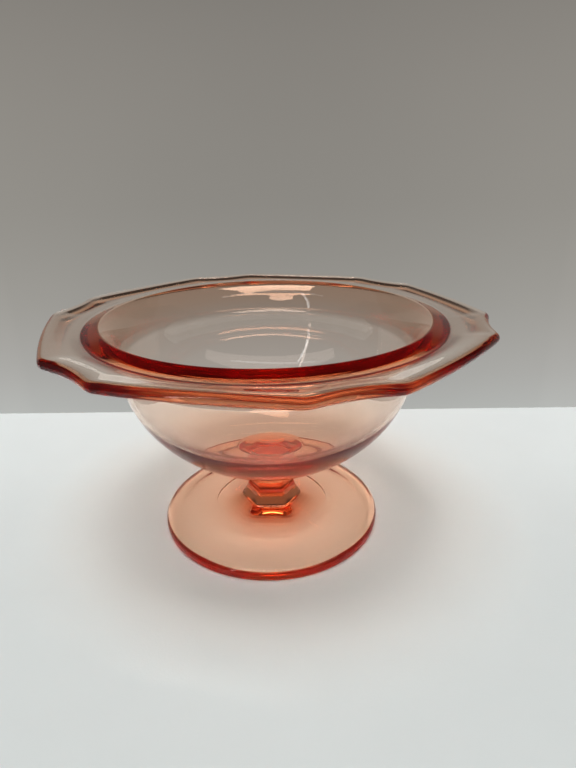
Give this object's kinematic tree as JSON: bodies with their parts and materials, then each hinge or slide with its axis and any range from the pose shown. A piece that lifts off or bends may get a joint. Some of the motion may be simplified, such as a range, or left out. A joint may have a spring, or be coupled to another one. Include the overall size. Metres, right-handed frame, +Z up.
{
  "type": "footed dessert bowl",
  "caption": "Footed dessert bowl in pale pink pressed glass: round cup with a raised mouth ring and a wide scalloped rim, on a short faceted stem and a disc foot.",
  "frame": {"origin": "centre of the foot, on the plane of the resting ring", "axes": "+Z up along the bowl's axis; +X through the middle of a short hollow of the rim"},
  "size_m": [0.1334, 0.1298, 0.0722],
  "materials": {
    "pink_glass": "fire-polished pressed glass, clear pale pink, deeper where it is thick"
  },
  "bodies": {
    "root": {"cup": "pink_glass", "mouth_ring": "pink_glass", "rim": "pink_glass", "stem": "pink_glass", "collar": "pink_glass", "foot": "pink_glass"}
  },
  "joints": []
}
